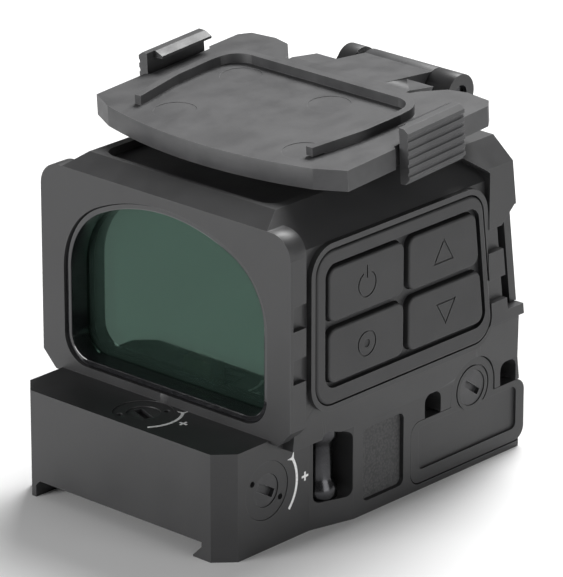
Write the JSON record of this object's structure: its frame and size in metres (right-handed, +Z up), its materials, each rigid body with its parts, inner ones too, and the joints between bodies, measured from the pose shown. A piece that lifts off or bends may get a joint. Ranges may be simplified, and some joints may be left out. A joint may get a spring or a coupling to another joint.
{
  "type": "enclosed red dot sight",
  "caption": "Compact enclosed red dot finder: hooded metal body, coated window, side keypad, slotted adjusters, battery tray, clamp foot and a flip cover folded back on its roof.",
  "frame": {"origin": "centre of the underside of the bounding box, on the plane the foot stands on", "axes": "+Z up, +X out of the keypad side, -Y out of the adjuster end with the coated window"},
  "size_m": [0.0396, 0.0486, 0.0446],
  "materials": {
    "anodised": "bead-blasted and black anodised, dark grey",
    "anodised_fine": "machined and black anodised",
    "gloss_black": "polished black",
    "coated_glass": "green anti-reflection coating",
    "lens_glass": "partly reflective coating",
    "seal_rubber": "black",
    "cover_polymer": "fine moulded grain, dark grey",
    "keypad_polymer": "satin dark grey",
    "key_rubber": "matte dark grey",
    "dark_steel": "black oxide",
    "spring_steel": "bright",
    "contact_brass": "gold plated",
    "circuit_board": "green solder mask",
    "chip_plastic": "black moulded",
    "slide_brass": "machined",
    "cell_steel": "bright nickel",
    "pad_rubber": "fine pebble texture"
  },
  "bodies": {
    "sight": {"housing": "anodised", "rear_frame": "anodised", "elevation_bush": "anodised", "windage_bush": "anodised", "electronics_cover": "anodised", "window_bezel": "gloss_black", "front_window": "coated_glass", "objective_lens": "lens_glass", "front_gasket": "seal_rubber", "lens_gasket": "seal_rubber", "keypad_seal": "seal_rubber", "elevation_seal": "seal_rubber", "windage_seal": "seal_rubber", "electronics_cover_gasket": "seal_rubber", "keypad_bezel": "keypad_polymer", "hinge_pin": "dark_steel", "clip_post": "dark_steel", "frame_screws": "dark_steel", "board_screws": "dark_steel", "electronics_cover_screws": "dark_steel", "hinge_spring": "spring_steel", "elevation_spring": "spring_steel", "battery_contact_top": "contact_brass", "battery_contact_side": "contact_brass", "keypad_switches": "spring_steel", "keypad_board": "circuit_board", "main_board": "circuit_board", "board_components": "chip_plastic", "side_pad": "pad_rubber"},
    "flip_cover": {"flip_cover": "cover_polymer"},
    "cover_latch_left": {"cover_latch_left": "cover_polymer"},
    "cover_latch_right": {"cover_latch_right": "cover_polymer"},
    "power_button": {"power_button": "key_rubber"},
    "select_button": {"select_button": "key_rubber"},
    "up_button": {"up_button": "key_rubber"},
    "down_button": {"down_button": "key_rubber"},
    "elevation_screw": {"elevation_screw": "anodised_fine"},
    "elevation_slide": {"elevation_slide": "slide_brass"},
    "windage_screw": {"windage_screw": "anodised_fine"},
    "windage_nut": {"windage_nut": "slide_brass"},
    "emitter_carriage": {"emitter_carriage": "slide_brass", "emitter": "chip_plastic"},
    "battery_tray": {"battery_tray": "anodised", "battery_tray_seal": "seal_rubber", "coin_cell": "cell_steel"},
    "battery_screw": {"battery_screw": "anodised_fine"},
    "clamp_jaw": {"clamp_jaw": "anodised"},
    "clamp_bolt_front": {"clamp_bolt_front": "dark_steel"},
    "clamp_bolt_rear": {"clamp_bolt_rear": "dark_steel"}
  },
  "joints": [
    {"name": "cover_hinge", "type": "hinge", "parent": "sight", "child": "flip_cover", "pos_m": [0, 0.02207, 0.03987], "axis": [-1, 0, 0], "range_deg": [0, 266], "stiffness_Nm_per_rad": 0.0004, "springref_deg": -34.38},
    {"name": "latch_right_flex", "type": "hinge", "parent": "flip_cover", "child": "cover_latch_right", "pos_m": [0.017, 0.00458, 0.04085], "axis": [0, 0.9981, 0.0619], "range_deg": [0, 8], "stiffness_Nm_per_rad": 0.01},
    {"name": "latch_left_flex", "type": "hinge", "parent": "flip_cover", "child": "cover_latch_left", "pos_m": [-0.017, 0.00458, 0.04085], "axis": [0, -0.9981, -0.0619], "range_deg": [0, 8], "stiffness_Nm_per_rad": 0.01},
    {"name": "power_button_press", "type": "slide", "parent": "sight", "child": "power_button", "axis": [-1, 0, 0], "range_m": [0, 0.00035], "stiffness_N_per_m": 1500},
    {"name": "select_button_press", "type": "slide", "parent": "sight", "child": "select_button", "axis": [-1, 0, 0], "range_m": [0, 0.00035], "stiffness_N_per_m": 1500},
    {"name": "up_button_press", "type": "slide", "parent": "sight", "child": "up_button", "axis": [-1, 0, 0], "range_m": [0, 0.00035], "stiffness_N_per_m": 1500},
    {"name": "down_button_press", "type": "slide", "parent": "sight", "child": "down_button", "axis": [-1, 0, 0], "range_m": [0, 0.00035], "stiffness_N_per_m": 1500},
    {"name": "elevation_turn", "type": "hinge", "parent": "sight", "child": "elevation_screw", "pos_m": [0, -0.02047, 0.01238], "axis": [0, 0, 1], "range_deg": [-504.1, 504.1]},
    {"name": "elevation_travel", "type": "slide", "parent": "sight", "child": "elevation_slide", "axis": [0, 0, 1], "range_m": [-0.00049, 0.00049], "deforming": ["elevation_spring"]},
    {"name": "windage_turn", "type": "hinge", "parent": "sight", "child": "windage_screw", "pos_m": [0.01542, -0.01767, 0.00685], "axis": [1, 0, 0], "range_deg": [-504.1, 504.1]},
    {"name": "windage_travel", "type": "slide", "parent": "sight", "child": "windage_nut", "axis": [1, 0, 0], "range_m": [-0.00049, 0.00049]},
    {"name": "carriage_travel", "type": "slide", "parent": "elevation_slide", "child": "emitter_carriage", "axis": [1, 0, 0], "range_m": [-0.0005, 0.0005]},
    {"name": "battery_tray_slide", "type": "slide", "parent": "sight", "child": "battery_tray", "axis": [1, 0, 0], "range_m": [0, 0.022]},
    {"name": "battery_screw_turn", "type": "hinge", "parent": "battery_tray", "child": "battery_screw", "pos_m": [0.0168, 0.01447, 0.0094], "axis": [1, 0, 0], "range_deg": [0, 1080]},
    {"name": "clamp_slide", "type": "slide", "parent": "sight", "child": "clamp_jaw", "axis": [-1, 0, 0], "range_m": [0, 0.0015]},
    {"name": "clamp_bolt_front_turn", "type": "hinge", "parent": "clamp_jaw", "child": "clamp_bolt_front", "pos_m": [-0.018, -0.00177, 0.0034], "axis": [-1, 0, 0], "range_deg": [0, 1080.1]},
    {"name": "clamp_bolt_rear_turn", "type": "hinge", "parent": "clamp_jaw", "child": "clamp_bolt_rear", "pos_m": [-0.018, 0.01223, 0.0034], "axis": [-1, 0, 0], "range_deg": [0, 1080.1]}
  ],
  "couplings": [
    {"joint": "elevation_turn", "follows": "elevation_travel", "rad_per_m": -17952},
    {"joint": "windage_turn", "follows": "windage_travel", "rad_per_m": -17952},
    {"joint": "carriage_travel", "follows": "windage_travel", "ratio": 1},
    {"joint": "clamp_bolt_front_turn", "follows": "clamp_slide", "rad_per_m": 12566},
    {"joint": "clamp_bolt_rear_turn", "follows": "clamp_slide", "rad_per_m": 12566}
  ]
}
